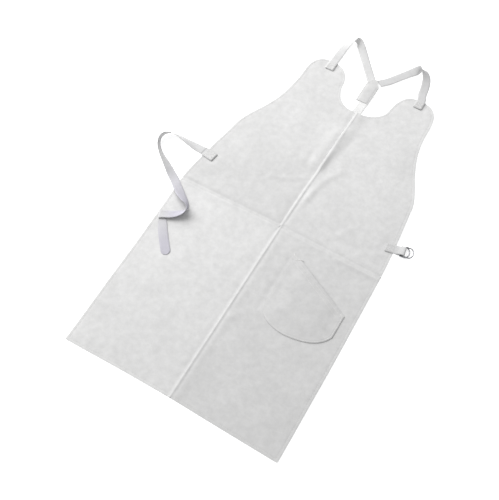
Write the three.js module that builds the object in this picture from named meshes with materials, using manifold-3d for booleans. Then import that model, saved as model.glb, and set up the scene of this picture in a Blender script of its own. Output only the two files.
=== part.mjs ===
// Welding apron in split leather: four panels with raised seam welts, a hip pocket, a crossed
// shoulder harness with a back strap, a waist belt and a pair of D-rings on a webbing tab.
// It lies face up. Millimetres: origin on the underside at the middle of the waist seam,
// +X to the right as seen from above, +Y towards the bib, +Z up.
import * as THREE from 'three'
import { mergeVertices } from 'three/addons/utils/BufferGeometryUtils.js'
import Module from 'manifold-3d'

const wasm = await Module()
wasm.setup()

// --- driving dimensions -------------------------------------------------------------------
const gap = 0.3 // left between pieces that touch
const leather = 1.3 // thickness of the split leather
const webbing = 1.4 // thickness of the straps and the belt
const webbingWidth = 25
const skirtLength = 549 // at the centre seam
const waistHalfWidth = { left: 304, right: 294 }
const bibLength = 557
const necklineY = 425 // lowest point of the neckline
const weltWidth = 3.4
const weltHeight = 3.2
const seam = weltWidth / 2 + gap // half the room a welt takes between two panels

// The right half of the waist seam starts a little lower than the left and runs down from there.
const rightWaistStart = -2
const rightWaistEnd = -9
const rightWaistSlope = (rightWaistEnd - rightWaistStart) / waistHalfWidth.right

// Corners of the skirt panels after the waist's, with x measured outwards from the middle.
const skirtCorners = {
  left: [[301, -220], [302, -547], [120, -547]],
  right: [[300, -290], [302, -561], [120, -554]],
}
// Control points of the bib panels' curves, measured the same way. They run up the side to the hip,
// into the armhole, over the lobe, down its inner side and round the neckline.
const bibCurves = {
  left: [
    [[302, 65], [274, 208]],
    [[269, 301], [198, 314], [198, 496]],
    [[198, 532], [183, bibLength], [146, bibLength]],
    [[101, bibLength], [80, 530], [77, 489]],
    [[68, 440], [38, necklineY], [12, necklineY]],
  ],
  right: [
    [[289, 86], [274, 207]],
    [[274, 265], [202, 333], [202, 456]],
    [[202, 508], [197, 553], [135, 553]],
    [[107, 553], [82, 540], [75, 478]],
    [[75, 440], [23, necklineY], [12, necklineY]],
  ],
}

// The bib's middle rides over the back strap that lies under it.
const ridgeHeight = 3.1
const ridgeTop = 22 // half width of the raised part
const ridgeFoot = 44 // half width where it comes back to the floor
const bibSkew = 0.008 // the bib lies a little askew, this much sideways per unit of height

const backStrapWidth = 28
const backStrap = 1.2 // its thickness
const backStrapX = 3 // its middle, at the neckline
const backStrapLean = 0.045 // it leans this much sideways per unit of length
const backStrapEnd = 219 // lower end of the belt loop
const beltLoopLength = 45

const yoke = { x: 0, bottom: 467, shoulder: 534, peak: 556, halfWidth: 19, peakHalfWidth: 5.5 }
const sewnEnd = 27 // side of a strap end that is folded double and sewn down
const sewnEndHeight = 2 * webbing
const shoulderEnds = { left: { x: -135, y: 538 }, right: { x: 143.5, y: 537 } }
const beltEnd = { x: -277.5, y: 99.3, length: 34, width: 29, angle: THREE.MathUtils.degToRad(-9) }

const wire = 3.2 // D-ring wire
const ringInside = 26
const ringDepth = 25.4 // from the straight bar's centre to the outside of the bow
const ringStraight = 14 // length of the straight arms before the bow
const tabAngle = THREE.MathUtils.degToRad(10)
const tabEndLength = 29

// Webbing routes: x, y, z of the middle line, then the bearing and the rise in degrees
// of the edge on the left of the way it runs.
const leftShoulderRoute = [
  [-134.6, 553.9, 3.7, 180, 0], [-134.6, 566, 2.2, 180, 0], [-134.3, 581, 1.5, 178, 0],
  [-133.4, 602, 2.5, 176, -6], [-130.7, 622, 4.9, 169, -16], [-126.5, 635, 8.0, 160, -28],
  [-121.5, 643.5, 10.6, 148, -42], [-115, 650, 12.6, 130, -60], [-107, 652.5, 13.2, 262, -76],
  [-98.5, 648.5, 11.6, 236, -48], [-89.5, 640, 8.0, 225, -27], [-79, 628.5, 4.5, 221, -12],
  [-64, 611.5, 2.0, 220, -3], [-44, 588, 1.2, 220, 0], [-25.5, 566, 1.4, 219, 0],
  [-12, 549, 2.3, 218, 0], [-7.5, 543.5, 2.3, 218, 0],
]
const rightShoulderRoute = [
  [143.2, 552.9, 3.7, 181, 0], [140.6, 562.5, 2.2, 184, 0], [135.8, 575, 1.5, 188, 0],
  [131.8, 601, 1.9, 192, 5], [125.2, 624.5, 3.8, 200, 14], [117.3, 640, 6.4, 213, 24],
  [108.5, 648.5, 9.5, 232, 36], [101, 650, 12.2, 260, 56], [96.3, 647, 13.0, 126, 72],
  [91.5, 643, 11.2, 129, 46], [85, 638, 7.5, 133, 26], [75.7, 629.5, 3.0, 138, 8],
  [62, 612, 1.3, 142, 0], [47.3, 590.5, 1.2, 143, 0], [32.5, 569.5, 1.5, 142, 0],
  [18, 554, 2.3, 140, 0], [13.5, 548.5, 2.3, 140, 0],
]
const beltRoute = [
  [-296.6, 102.3, 3.7, -98, 0], [-321, 103.5, 2.6, -94, 8], [-342, 104.5, 5.4, -95, 22],
  [-358.5, 105.5, 8.0, -96, 36], [-375, 106.5, 10.2, -94, 46], [-391, 106, 11.8, -86, 53],
  [-405, 103, 12.6, -64, 61], [-416, 94.5, 13.2, -37, 72], [-420, 83, 13.2, -6, 84],
  [-418, 68, 13.2, 201, 82], [-407.5, 50, 12.4, 219, 68], [-391, 34.5, 11.0, 231, 56],
  [-372.5, 21.5, 9.0, 236, 42], [-353, 8.5, 6.6, 235, 28], [-336, -4, 3.8, 235, 14],
  [-317, -16.5, 3.2, 236, 6], [-298, -33, 5.6, 234, 13], [-277, -50, 9.0, 231, 24],
  [-257, -64, 12.0, 224, 42], [-242, -76, 14.4, 204, 70], [-237, -86, 14.0, -38, 70],
  [-243, -97, 10.4, -46, 40], [-255.5, -108.5, 7.4, -54, 22], [-269, -117, 6.2, -59, 14],
  [-281, -122.5, 6.0, -61, 8], [-291, -127.5, 6.2, -61, 3], [-295, -129.8, 4.7, -63, 0],
  [-291, -130.8, 3.0, -74, 0], [-284, -135, 2.4, -100, 0], [-275, -145, 2.4, -124, 0],
  [-261, -165, 2.4, -138, 0], [-239, -193, 2.4, -139, 0], [-214, -223, 2.4, -138, 0],
]

// --- materials ----------------------------------------------------------------------------
const surface = (color, roughness, metalness = 0) =>
  new THREE.MeshStandardMaterial({ color, roughness, metalness })
const hide = surface(0xd6d5d2, 0.92)
const weltHide = surface(0xe6e5e2, 0.9)
const strapCloth = surface(0xcbcac9, 0.85)
const backCloth = surface(0xf0f0ee, 0.85)
const chrome = surface(0xd9dade, 0.15, 1)

// --- tools --------------------------------------------------------------------------------
function toSolid(geometry) {
  const bare = geometry.clone()
  bare.deleteAttribute('normal')
  bare.deleteAttribute('uv')
  const merged = mergeVertices(bare, 1e-4)
  return new wasm.Manifold(new wasm.Mesh({
    numProp: 3,
    vertProperties: new Float32Array(merged.attributes.position.array),
    triVerts: new Uint32Array(merged.index.array),
  }))
}

function toGeometry(solid) {
  const mesh = solid.getMesh()
  const geometry = new THREE.BufferGeometry()
  geometry.setAttribute('position', new THREE.BufferAttribute(new Float32Array(mesh.vertProperties), 3))
  geometry.setIndex(new THREE.BufferAttribute(new Uint32Array(mesh.triVerts), 1))
  geometry.computeVertexNormals()
  return geometry
}

function extrude(outline, depth, curveSegments) {
  return new THREE.ExtrudeGeometry(outline, { depth, bevelEnabled: false, curveSegments })
}

// A plan outline raised into a plate from z = bottom.
function plate(outline, thickness, bottom) {
  return extrude(outline, thickness, 8).translate(0, 0, bottom)
}

function polygon(points) {
  return new THREE.Shape(points.map(([x, y]) => new THREE.Vector2(x, y)))
}

// A cross-section drawn in X and Z, run along +Y from y = start.
function runAlongY(section, start, length) {
  return extrude(section, length, 4).rotateX(Math.PI / 2).translate(0, start + length, 0)
}

// A side view drawn in Y and Z, run across X about x = middle.
function runAcross(section, middle, width) {
  const turned = extrude(section, width, 4).rotateX(Math.PI / 2).rotateZ(Math.PI / 2)
  return turned.translate(middle - width / 2, 0, 0)
}

function block(width, length, height, x, y, bottom) {
  return new THREE.BoxGeometry(width, length, height).translate(x, y, bottom + height / 2)
}

// A flat strip that follows a route and turns with it, square in section.
function ribbon(route, width, thickness, stepsPerPoint) {
  const direction = ([, , , bearing, rise]) => {
    const flat = Math.cos(THREE.MathUtils.degToRad(rise))
    const angle = THREE.MathUtils.degToRad(bearing)
    return new THREE.Vector3(
      flat * Math.cos(angle), flat * Math.sin(angle), Math.sin(THREE.MathUtils.degToRad(rise)))
  }
  const middle = new THREE.CatmullRomCurve3(
    route.map(([x, y, z]) => new THREE.Vector3(x, y, z)), false, 'catmullrom', 0.5)
  const edge = new THREE.CatmullRomCurve3(route.map(direction), false, 'catmullrom', 0.5)
  const steps = (route.length - 1) * stepsPerPoint
  const positions = []
  for (let i = 0; i <= steps; i++) {
    const centre = middle.getPoint(i / steps)
    const along = middle.getTangent(i / steps)
    const across = edge.getPoint(i / steps).setLength(width / 2)
    const up = along.clone().cross(across).setLength(thickness / 2)
    for (const [a, b] of [[1, 1], [-1, 1], [-1, -1], [1, -1]]) {
      positions.push(...centre.clone().addScaledVector(across, a).addScaledVector(up, b).toArray())
    }
  }
  const faces = [0, 2, 1, 0, 3, 2]
  for (let i = 0; i < steps; i++) {
    for (let k = 0; k < 4; k++) {
      const a = i * 4 + k
      const b = i * 4 + (k + 1) % 4
      faces.push(a, b, b + 4, a, b + 4, a + 4)
    }
  }
  const last = steps * 4
  faces.push(last, last + 1, last + 2, last, last + 2, last + 3)
  const geometry = new THREE.BufferGeometry()
  geometry.setAttribute('position', new THREE.Float32BufferAttribute(positions, 3))
  geometry.setIndex(faces)
  geometry.computeVertexNormals()
  return geometry
}

const apron = new THREE.Group()

function addPiece(name, geometry, material, parent = apron) {
  const mesh = new THREE.Mesh(geometry, material)
  mesh.name = name
  parent.add(mesh)
  return mesh
}

// --- panels -------------------------------------------------------------------------------
// side is -1 for the panel at negative x and 1 for the other.
function sideName(side) {
  return side < 0 ? 'left' : 'right'
}

function waistY(side, x) {
  return side > 0 ? rightWaistStart + rightWaistSlope * x : 0
}

function skirtOutline(side) {
  const waist = waistHalfWidth[sideName(side)]
  return polygon([
    [side * seam, waistY(side, seam) - seam],
    [side * waist, waistY(side, waist) - seam],
    ...skirtCorners[sideName(side)].map(([x, y]) => [side * x, y]),
    [side * seam, -skirtLength],
  ])
}

// The bib lies askew, so its points shift sideways with their height.
function bibOutline(side) {
  const waist = waistHalfWidth[sideName(side)]
  const at = (x, y) => [side * x + bibSkew * y, y]
  const outline = new THREE.Shape()
  outline.moveTo(...at(seam, waistY(side, seam) + seam))
  outline.lineTo(...at(waist, waistY(side, waist) + seam))
  const [toHip, ...others] = bibCurves[sideName(side)]
  outline.quadraticCurveTo(...toHip.flatMap(([x, y]) => at(x, y)))
  for (const curve of others) outline.bezierCurveTo(...curve.flatMap(([x, y]) => at(x, y)))
  outline.lineTo(...at(seam, necklineY))
  return outline
}

// The panel's outline cut out of a sheet that is bent over the ridge.
function bibPanel(side) {
  const margin = 1 // the solids for the cut reach past each other by this much
  const lowest = rightWaistEnd - margin
  const inner = -side * ridgeTop
  const outer = side * (waistHalfWidth.left + bibSkew * bibLength + margin)
  const profile = polygon([
    [outer, 0], [side * ridgeFoot, 0], [side * ridgeTop, ridgeHeight],
    [inner, ridgeHeight], [inner, ridgeHeight + leather],
    [side * ridgeTop, ridgeHeight + leather], [side * ridgeFoot, leather], [outer, leather],
  ])
  const blank = toSolid(plate(bibOutline(side), ridgeHeight + leather + 2 * margin, -margin))
  const bentSheet = toSolid(runAlongY(profile, lowest, bibLength + margin - lowest))
  return toGeometry(blank.intersect(bentSheet))
}

// A strip folded round a cord and caught in a seam: flat below, rounded on top.
function weltSection(bottom) {
  const half = weltWidth / 2
  const section = new THREE.Shape()
  section.moveTo(-half, bottom)
  section.lineTo(half, bottom)
  section.lineTo(half, bottom + weltHeight - half)
  section.absarc(0, bottom + weltHeight - half, half, 0, Math.PI, false)
  return section
}

function buildPanels() {
  addPiece('skirt_panel_left', plate(skirtOutline(-1), leather, 0), hide)
  addPiece('skirt_panel_right', plate(skirtOutline(1), leather, 0), hide)
  addPiece('bib_panel_left', bibPanel(-1), hide)
  addPiece('bib_panel_right', bibPanel(1), hide)

  addPiece('skirt_centre_welt', runAlongY(weltSection(0), -skirtLength, skirtLength - seam), weltHide)
  const bibWelt = runAlongY(weltSection(ridgeHeight), seam, necklineY - seam)
  const lean = new THREE.Matrix4().makeShear(0, 0, bibSkew, 0, 0, 0)
  addPiece('bib_centre_welt', bibWelt.applyMatrix4(lean), weltHide)

  const { left, right } = waistHalfWidth
  const leftWelt = runAlongY(weltSection(0), -left, left + weltWidth / 2)
  addPiece('waist_welt_left', leftWelt.rotateZ(-Math.PI / 2), weltHide)
  const rightWelt = runAlongY(weltSection(0), seam, right - seam).rotateZ(-Math.PI / 2)
  const slope = new THREE.Matrix4().makeShear(rightWaistSlope, 0, 0, 0, 0, 0)
  addPiece('waist_welt_right', rightWelt.applyMatrix4(slope).translate(0, rightWaistStart, 0), weltHide)
}

// --- pocket -------------------------------------------------------------------------------
const pocket = {
  left: 73, right: 264, mouthLeft: -54, mouthRight: -152, bottom: -271, lowest: 155,
  sideLeft: -230, sideRight: -218, cornerLeft: 95, cornerRight: 243, puff: 5.2, rim: 9,
}

// Slanted mouth, straight sides and a rounded bottom. inset draws the same outline further in,
// and reach carries the mouth edge outwards.
function pocketOutline(inset, reach) {
  const left = pocket.left + inset
  const right = pocket.right - inset
  const bottom = pocket.bottom + inset
  const outline = new THREE.Shape()
  outline.moveTo(left, pocket.mouthLeft + reach)
  outline.lineTo(left, pocket.sideLeft)
  outline.quadraticCurveTo(pocket.cornerLeft + inset, bottom + 3, pocket.lowest, bottom)
  outline.quadraticCurveTo(pocket.cornerRight - inset, bottom + 4, right, pocket.sideRight)
  outline.lineTo(right, pocket.mouthRight + reach)
  return outline
}

// A puffed patch with a sewn rim on three sides, open at its mouth.
function buildPocket() {
  const floorZ = leather + gap
  const pastMouth = 40
  const outside = toSolid(plate(pocketOutline(0, 0), pocket.puff + leather, floorZ))
  const inside = toSolid(plate(pocketOutline(pocket.rim, pastMouth), pocket.puff + 1, floorZ - 1))
  addPiece('pocket_panel', toGeometry(outside.subtract(inside)), hide)
}

// --- harness ------------------------------------------------------------------------------
function buildShoulderStraps() {
  const routes = { left: leftShoulderRoute, right: rightShoulderRoute }
  for (const [side, route] of Object.entries(routes)) {
    const { x, y } = shoulderEnds[side]
    const fold = block(sewnEnd, sewnEnd, sewnEndHeight, x, y, leather + gap)
    addPiece(`${side}_shoulder_strap_end`, fold, strapCloth)
    addPiece(`${side}_shoulder_strap`, ribbon(route, webbingWidth, webbing, 3), strapCloth)
  }
}

// Two leather patches with their upper corners cut off, sewn together round the straps' ends.
function buildYoke() {
  const { x, bottom, shoulder, peak, halfWidth, peakHalfWidth } = yoke
  const outline = polygon([
    [x - halfWidth, bottom], [x + halfWidth, bottom], [x + halfWidth, shoulder],
    [x + peakHalfWidth, peak], [x - peakHalfWidth, peak], [x - halfWidth, shoulder],
  ])
  addPiece('yoke_back_patch', plate(outline, leather, 0), hide)
  addPiece('yoke_front_patch', plate(outline, leather, leather + 2 * gap + webbing), hide)
}

// A side view run to the back strap's width and leant over.
function leaningStrap(sideView) {
  const lean = new THREE.Matrix4().makeShear(0, 0, backStrapLean, 0, 0, 0)
  const straight = runAcross(sideView, backStrapX - backStrapLean * necklineY, backStrapWidth)
  return straight.applyMatrix4(lean)
}

// It starts between the two patches, comes down to the floor and runs on under the bib.
function buildBackStrap() {
  const top = yoke.bottom + 34
  const bottom = backStrapEnd + beltLoopLength + gap
  const bends = [yoke.bottom - 2, yoke.bottom - 8]
  const inYoke = leather + gap
  const sideView = polygon([
    [bottom, 0], [bends[1], 0], [bends[0], inYoke], [top, inYoke],
    [top, inYoke + backStrap], [bends[0], inYoke + backStrap], [bends[1], backStrap], [bottom, backStrap],
  ])
  addPiece('back_strap', leaningStrap(sideView), backCloth)
}

// The strap's end folded back on itself and sewn, so that the belt can pass through.
function buildBeltLoop() {
  const slit = 0.4 // height of the flat space inside
  const sewn = 8
  const top = backStrapEnd + beltLoopLength
  const loop = polygon([
    [backStrapEnd, 0], [top, 0], [top, 2 * backStrap + slit], [backStrapEnd, 2 * backStrap + slit],
  ])
  loop.holes.push(new THREE.Path([
    new THREE.Vector2(backStrapEnd + backStrap, backStrap),
    new THREE.Vector2(backStrapEnd + backStrap, backStrap + slit),
    new THREE.Vector2(top - sewn, backStrap + slit),
    new THREE.Vector2(top - sewn, backStrap),
  ]))
  addPiece('belt_loop', leaningStrap(loop), backCloth)
}

// --- belt ---------------------------------------------------------------------------------
function buildBelt() {
  const end = block(beltEnd.length, beltEnd.width, sewnEndHeight, 0, 0, leather + gap)
  addPiece('belt_end', end.rotateZ(beltEnd.angle).translate(beltEnd.x, beltEnd.y, 0), strapCloth)
  addPiece('belt_strap', ribbon(beltRoute, webbingWidth, webbing, 2), strapCloth)
}

// --- D-rings on their tab -----------------------------------------------------------------
// Tab frame: x along the tab from its fold at the panel's edge, z from the floor.
const fold = { x: 291.5, y: 84 }
const lowerBar = { x: 12, z: webbing + gap + wire / 2, tilt: 4.1 }
const upperBar = { x: 22, z: lowerBar.z + wire + gap, tilt: 6.5 }

// Drawn about its straight bar, with a wire of eight sides.
function dRing(bar) {
  const half = (ringInside + wire) / 2
  const bow = ringDepth - ringStraight - wire / 2
  const draw = (path, grow) => {
    path.moveTo(-grow, -half - grow)
    path.lineTo(ringStraight, -half - grow)
    path.absellipse(ringStraight, 0, bow + grow, half + grow, -Math.PI / 2, Math.PI / 2, false)
    path.lineTo(-grow, half + grow)
    path.closePath()
    return path
  }
  const rounding = wire / 2 * (1 - Math.tan(Math.PI / 8))
  const shape = draw(new THREE.Shape(), wire / 2 - rounding)
  shape.holes.push(draw(new THREE.Path(), rounding - wire / 2))
  const geometry = new THREE.ExtrudeGeometry(shape, {
    depth: wire - 2 * rounding, bevelEnabled: true, bevelThickness: rounding, bevelSize: rounding,
    bevelSegments: 1, curveSegments: 16,
  })
  geometry.translate(0, 0, -(wire - 2 * rounding) / 2)
  geometry.rotateY(THREE.MathUtils.degToRad(bar.tilt))
  return geometry.translate(bar.x, 0, bar.z)
}

// Side view of the webbing's loop round both bars: it leaves the panel at its root, runs along
// the floor, turns up past the upper bar and comes back over it.
function tabLoop() {
  const top = upperBar.z + wire / 2 + gap
  const end = upperBar.x + wire / 2 + gap
  const root = leather + gap
  const onFloor = 7
  const corner = 1 // the cut across each turn
  const outer = polygon([
    [2.4, root], [onFloor, 0], [end - corner, 0], [end + webbing, 2.2], [end + webbing, top - 0.8],
    [end - 0.8, top + webbing], [upperBar.x - 2.5, top + webbing], [1.6, root + 2 * webbing],
  ])
  outer.holes.push(new THREE.Path([
    new THREE.Vector2(3.8, root + webbing),
    new THREE.Vector2(upperBar.x - 2.2, top),
    new THREE.Vector2(end - corner, top),
    new THREE.Vector2(end, top - corner),
    new THREE.Vector2(end, webbing + corner),
    new THREE.Vector2(end - corner, webbing),
    new THREE.Vector2(onFloor, webbing),
  ]))
  return runAlongY(outer, -webbingWidth / 2, webbingWidth)
}

function buildRingTab() {
  const frame = new THREE.Group()
  frame.position.set(fold.x, fold.y, 0)
  frame.rotation.z = tabAngle
  apron.add(frame)
  const endX = -tabEndLength / 2 - 2.7
  const end = block(tabEndLength, sewnEnd, sewnEndHeight, endX, 0, leather + gap)
  addPiece('ring_tab_end', end, strapCloth, frame)
  addPiece('ring_tab_loop', tabLoop(), strapCloth, frame)
  addPiece('lower_d_ring', dRing(lowerBar), chrome, frame)
  addPiece('upper_d_ring', dRing(upperBar), chrome, frame)
}

buildPanels()
buildPocket()
buildShoulderStraps()
buildYoke()
buildBackStrap()
buildBeltLoop()
buildBelt()
buildRingTab()

export default apron
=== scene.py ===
"""The looks of a split-leather welding apron that lies face up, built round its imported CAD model.

Lengths are millimetres until place() makes an object of them, in metres: x to the right, y towards
the bib and z up, from the underside at the middle of the waist seam.
"""

import math

import bpy
import numpy as np
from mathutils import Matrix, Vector, geometry, noise


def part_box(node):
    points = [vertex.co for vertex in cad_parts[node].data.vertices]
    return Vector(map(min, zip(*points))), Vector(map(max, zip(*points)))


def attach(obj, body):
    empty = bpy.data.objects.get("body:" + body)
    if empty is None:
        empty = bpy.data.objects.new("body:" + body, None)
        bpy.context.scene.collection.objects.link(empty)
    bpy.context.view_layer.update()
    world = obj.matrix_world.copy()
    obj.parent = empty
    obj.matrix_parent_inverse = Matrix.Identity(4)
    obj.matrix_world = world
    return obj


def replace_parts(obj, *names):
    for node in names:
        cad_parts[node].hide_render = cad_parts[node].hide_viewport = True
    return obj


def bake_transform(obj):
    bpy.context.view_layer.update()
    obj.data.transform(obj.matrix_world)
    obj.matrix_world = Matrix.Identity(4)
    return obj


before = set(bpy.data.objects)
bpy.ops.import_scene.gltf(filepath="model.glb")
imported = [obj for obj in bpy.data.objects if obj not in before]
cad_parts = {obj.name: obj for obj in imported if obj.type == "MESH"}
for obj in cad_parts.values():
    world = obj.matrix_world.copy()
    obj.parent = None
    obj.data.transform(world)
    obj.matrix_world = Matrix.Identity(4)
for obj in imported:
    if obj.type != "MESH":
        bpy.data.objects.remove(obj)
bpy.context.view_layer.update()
MM = 0.001


def node_box(name):
    """The lowest and highest corner of a CAD node, in millimetres."""
    low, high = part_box(name)
    return np.array(low) / MM, np.array(high) / MM


# --- driving dimensions, the same as the CAD model's ---
SKIRT_LOW, SKIRT_HIGH = node_box("skirt_panel_left")
LEATHER = SKIRT_HIGH[2] - SKIRT_LOW[2]
SKIRT_BOTTOM = node_box("skirt_centre_welt")[0][1]
BIB_LENGTH = node_box("bib_panel_left")[1][1]
NECKLINE_Y = node_box("bib_centre_welt")[1][1]
WAIST_HALF_WIDTH = {"left": -node_box("waist_welt_left")[0][0], "right": node_box("waist_welt_right")[1][0]}
SEAM = 2.0
BIB_SKEW = 0.008
RIGHT_WAIST_START, RIGHT_WAIST_END = -2, -9
WEBBING = 1.4
WEBBING_WIDTH = 25
BACK_STRAP = 1.2
BACK_STRAP_WIDTH = 28
BACK_STRAP_X = 3
BACK_STRAP_LEAN = 0.045
BACK_STRAP_END = node_box("belt_loop")[0][1]
WIRE = 3.2
TAB_ANGLE = math.radians(10)
TAB_FOLD = (291.5, 84)
BELT_END = dict(x=-277.5, y=99.3, length=34, width=27, angle=math.radians(-9))
STITCH_INSET = 7

# Corners of the skirt panels after the waist's, with x measured outwards from the middle.
SKIRT_CORNERS = {
    "left": [(301, -220), (302, -547), (120, -547)],
    "right": [(300, -290), (302, -561), (120, -554)],
}
# Control points of the bib panels' curves, measured the same way. They run up the side to the hip,
# into the armhole, over the lobe, down its inner side and round the neckline.
BIB_CURVES = {
    "left": [
        [(302, 65), (274, 208)],
        [(269, 301), (198, 314), (198, 496)],
        [(198, 532), (183, BIB_LENGTH), (146, BIB_LENGTH)],
        [(101, BIB_LENGTH), (80, 530), (77, 489)],
        [(68, 440), (38, NECKLINE_Y), (12, NECKLINE_Y)],
    ],
    "right": [
        [(289, 86), (274, 207)],
        [(274, 265), (202, 333), (202, 456)],
        [(202, 508), (197, 553), (135, 553)],
        [(107, 553), (82, 540), (75, 478)],
        [(75, 440), (23, NECKLINE_Y), (12, NECKLINE_Y)],
    ],
}

# Webbing routes: x, y, z of the middle line, then the bearing and the rise in degrees of the edge
# on the left of the way it runs.
LEFT_SHOULDER_ROUTE = [
    (-134.6, 553.9, 3.7, 180, 0), (-134.6, 566, 2.2, 180, 0), (-134.3, 581, 1.5, 178, 0),
    (-133.4, 602, 2.5, 176, -6), (-130.7, 622, 4.9, 169, -16), (-126.5, 635, 8.0, 160, -28),
    (-121.5, 643.5, 10.6, 148, -42), (-115, 650, 12.6, 130, -60), (-107, 652.5, 13.2, 262, -76),
    (-98.5, 648.5, 11.6, 236, -48), (-89.5, 640, 8.0, 225, -27), (-79, 628.5, 4.5, 221, -12),
    (-64, 611.5, 2.0, 220, -3), (-44, 588, 1.2, 220, 0), (-25.5, 566, 1.4, 219, 0),
    (-12, 549, 2.3, 218, 0), (-7.5, 543.5, 2.3, 218, 0),
]
RIGHT_SHOULDER_ROUTE = [
    (143.2, 552.9, 3.7, 181, 0), (140.6, 562.5, 2.2, 184, 0), (135.8, 575, 1.5, 188, 0),
    (131.8, 601, 1.9, 192, 5), (125.2, 624.5, 3.8, 200, 14), (117.3, 640, 6.4, 213, 24),
    (108.5, 648.5, 9.5, 232, 36), (101, 650, 12.2, 260, 56), (96.3, 647, 13.0, 126, 72),
    (91.5, 643, 11.2, 129, 46), (85, 638, 7.5, 133, 26), (75.7, 629.5, 3.0, 138, 8),
    (62, 612, 1.3, 142, 0), (47.3, 590.5, 1.2, 143, 0), (32.5, 569.5, 1.5, 142, 0),
    (18, 554, 2.3, 140, 0), (13.5, 548.5, 2.3, 140, 0),
]
BELT_ROUTE = [
    (-296.6, 102.3, 3.7, -98, 0), (-321, 103.5, 2.6, -94, 8), (-342, 104.5, 5.4, -95, 22),
    (-358.5, 105.5, 8.0, -96, 36), (-375, 106.5, 10.2, -94, 46), (-391, 106, 11.8, -86, 53),
    (-405, 103, 12.6, -64, 61), (-416, 94.5, 13.2, -37, 72), (-420, 83, 13.2, -6, 84),
    (-418, 68, 13.2, 201, 82), (-407.5, 50, 12.4, 219, 68), (-391, 34.5, 11.0, 231, 56),
    (-372.5, 21.5, 9.0, 236, 42), (-353, 8.5, 6.6, 235, 28), (-336, -4, 3.8, 235, 14),
    (-317, -16.5, 3.2, 236, 6), (-298, -33, 5.6, 234, 13), (-277, -50, 9.0, 231, 24),
    (-257, -64, 12.0, 224, 42), (-242, -76, 14.4, 204, 70), (-237, -86, 14.0, -38, 70),
    (-243, -97, 10.4, -46, 40), (-255.5, -108.5, 7.4, -54, 22), (-269, -117, 6.2, -59, 14),
    (-281, -122.5, 6.0, -61, 8), (-291, -127.5, 6.2, -61, 3), (-295, -129.8, 4.7, -63, 0),
    (-291, -130.8, 3.0, -74, 0), (-284, -135, 2.4, -100, 0), (-275, -145, 2.4, -124, 0),
    (-261, -165, 2.4, -138, 0), (-239, -193, 2.4, -139, 0), (-214, -223, 2.4, -138, 0),
]


# --- camera ---
def add_camera():
    data = bpy.data.cameras.new("camera")
    data.sensor_width = 36
    data.lens = 72.73
    pitch, turn = 29.54, 29.95
    data.clip_end = 100
    camera = bpy.data.objects.new("camera", data)
    camera.location = (0.6052, -1.2156, 2.2651)
    camera.rotation_euler = (math.radians(pitch), 0, math.radians(turn))
    bpy.context.scene.collection.objects.link(camera)
    bpy.context.scene.camera = camera


# --- node materials ---
class Nodes:
    """A material's node tree, with short ways to add the few kinds of node used here."""

    def __init__(self, name):
        self.material = bpy.data.materials.new(name)
        self.material.use_nodes = True
        self.tree = self.material.node_tree
        self.shader = self.tree.nodes["Principled BSDF"]

    def link(self, source, target):
        self.tree.links.new(source, target)

    def add(self, kind, **inputs):
        node = self.tree.nodes.new(kind)
        for name, value in inputs.items():
            self.feed(node.inputs[name], value)
        return node

    def feed(self, socket, value):
        if isinstance(value, bpy.types.NodeSocket):
            self.link(value, socket)
        else:
            socket.default_value = value

    def place_on_object(self, scale=(1, 1, 1)):
        """Coordinates in metres that stay with the piece, stretched by scale."""
        mapping = self.add("ShaderNodeMapping", Vector=self.add("ShaderNodeTexCoord").outputs["Object"])
        mapping.inputs["Scale"].default_value = scale
        return mapping.outputs["Vector"]

    def place_on_strap(self):
        """Metres across and along the webbing."""
        node = self.tree.nodes.new("ShaderNodeUVMap")
        node.uv_map = "strap"
        return node.outputs["UV"]

    def noise(self, where, scale, detail=3.0, roughness=0.55):
        node = self.add("ShaderNodeTexNoise", Vector=where, Scale=scale, Detail=detail)
        node.inputs["Roughness"].default_value = roughness
        return node.outputs["Fac"]

    def math(self, operation, a, b=0.0):
        node = self.tree.nodes.new("ShaderNodeMath")
        node.operation = operation
        self.feed(node.inputs[0], a)
        self.feed(node.inputs[1], b)
        return node.outputs[0]

    def between(self, value, low, high, start=0.3, end=0.7):
        """Turns start..end into low..high."""
        node = self.add("ShaderNodeMapRange", Value=value)
        node.inputs["From Min"].default_value = start
        node.inputs["From Max"].default_value = end
        node.inputs["To Min"].default_value = low
        node.inputs["To Max"].default_value = high
        return node.outputs["Result"]

    def scaled(self, colour, amount):
        """The colour times a grey amount."""
        node = self.tree.nodes.new("ShaderNodeVectorMath")
        node.operation = "SCALE"
        self.feed(node.inputs[0], colour)
        self.feed(node.inputs["Scale"], amount)
        return node.outputs["Vector"]

    def mix(self, amount, a, b):
        node = self.tree.nodes.new("ShaderNodeMix")
        node.data_type = "RGBA"
        self.feed(node.inputs["Factor"], amount)
        self.feed(node.inputs["A"], a)
        self.feed(node.inputs["B"], b)
        return node.outputs["Result"]

    def bump(self, height, distance, strength=1.0, under=None):
        node = self.add("ShaderNodeBump", Height=height, Distance=distance, Strength=strength)
        if under is not None:
            self.link(under, node.inputs["Normal"])
        return node.outputs["Normal"]

    def finish(self, colour, roughness, normal, **fixed):
        """Feeds the shader. fixed are values that are the same all over."""
        self.feed(self.shader.inputs["Base Color"], colour)
        self.feed(self.shader.inputs["Roughness"], roughness)
        self.feed(self.shader.inputs["Normal"], normal)
        for name, value in fixed.items():
            self.shader.inputs[name.replace("_", " ")].default_value = value
        return self.material


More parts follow.
